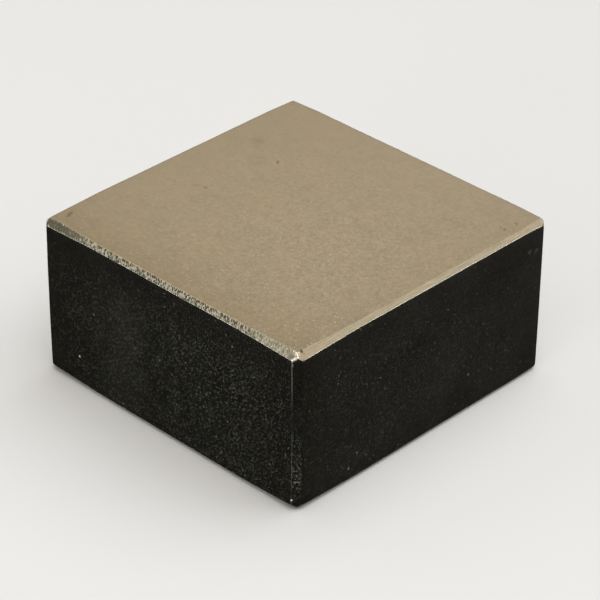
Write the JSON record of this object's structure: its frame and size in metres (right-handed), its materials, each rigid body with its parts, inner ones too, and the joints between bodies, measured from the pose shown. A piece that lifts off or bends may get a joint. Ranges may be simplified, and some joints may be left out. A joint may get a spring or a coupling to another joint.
{
  "type": "block magnet",
  "caption": "Square block magnet, nickel plated, with flat pole faces above and below and a small chamfer on every edge. It holds or attracts steel through either pole face.",
  "frame": {"origin": "centre of the lower pole face, on the surface that the block stands on", "axes": "+Z through the block, along its height and its magnetised direction, towards the upper pole face; +X and +Y square to the side faces"},
  "size_m": [0.04, 0.04, 0.02],
  "materials": {
    "nickel_plate": "satin nickel plate with a warm tone and a fine grain, ground chamfers"
  },
  "bodies": {
    "root": {"magnet_block": "nickel_plate"}
  },
  "joints": []
}
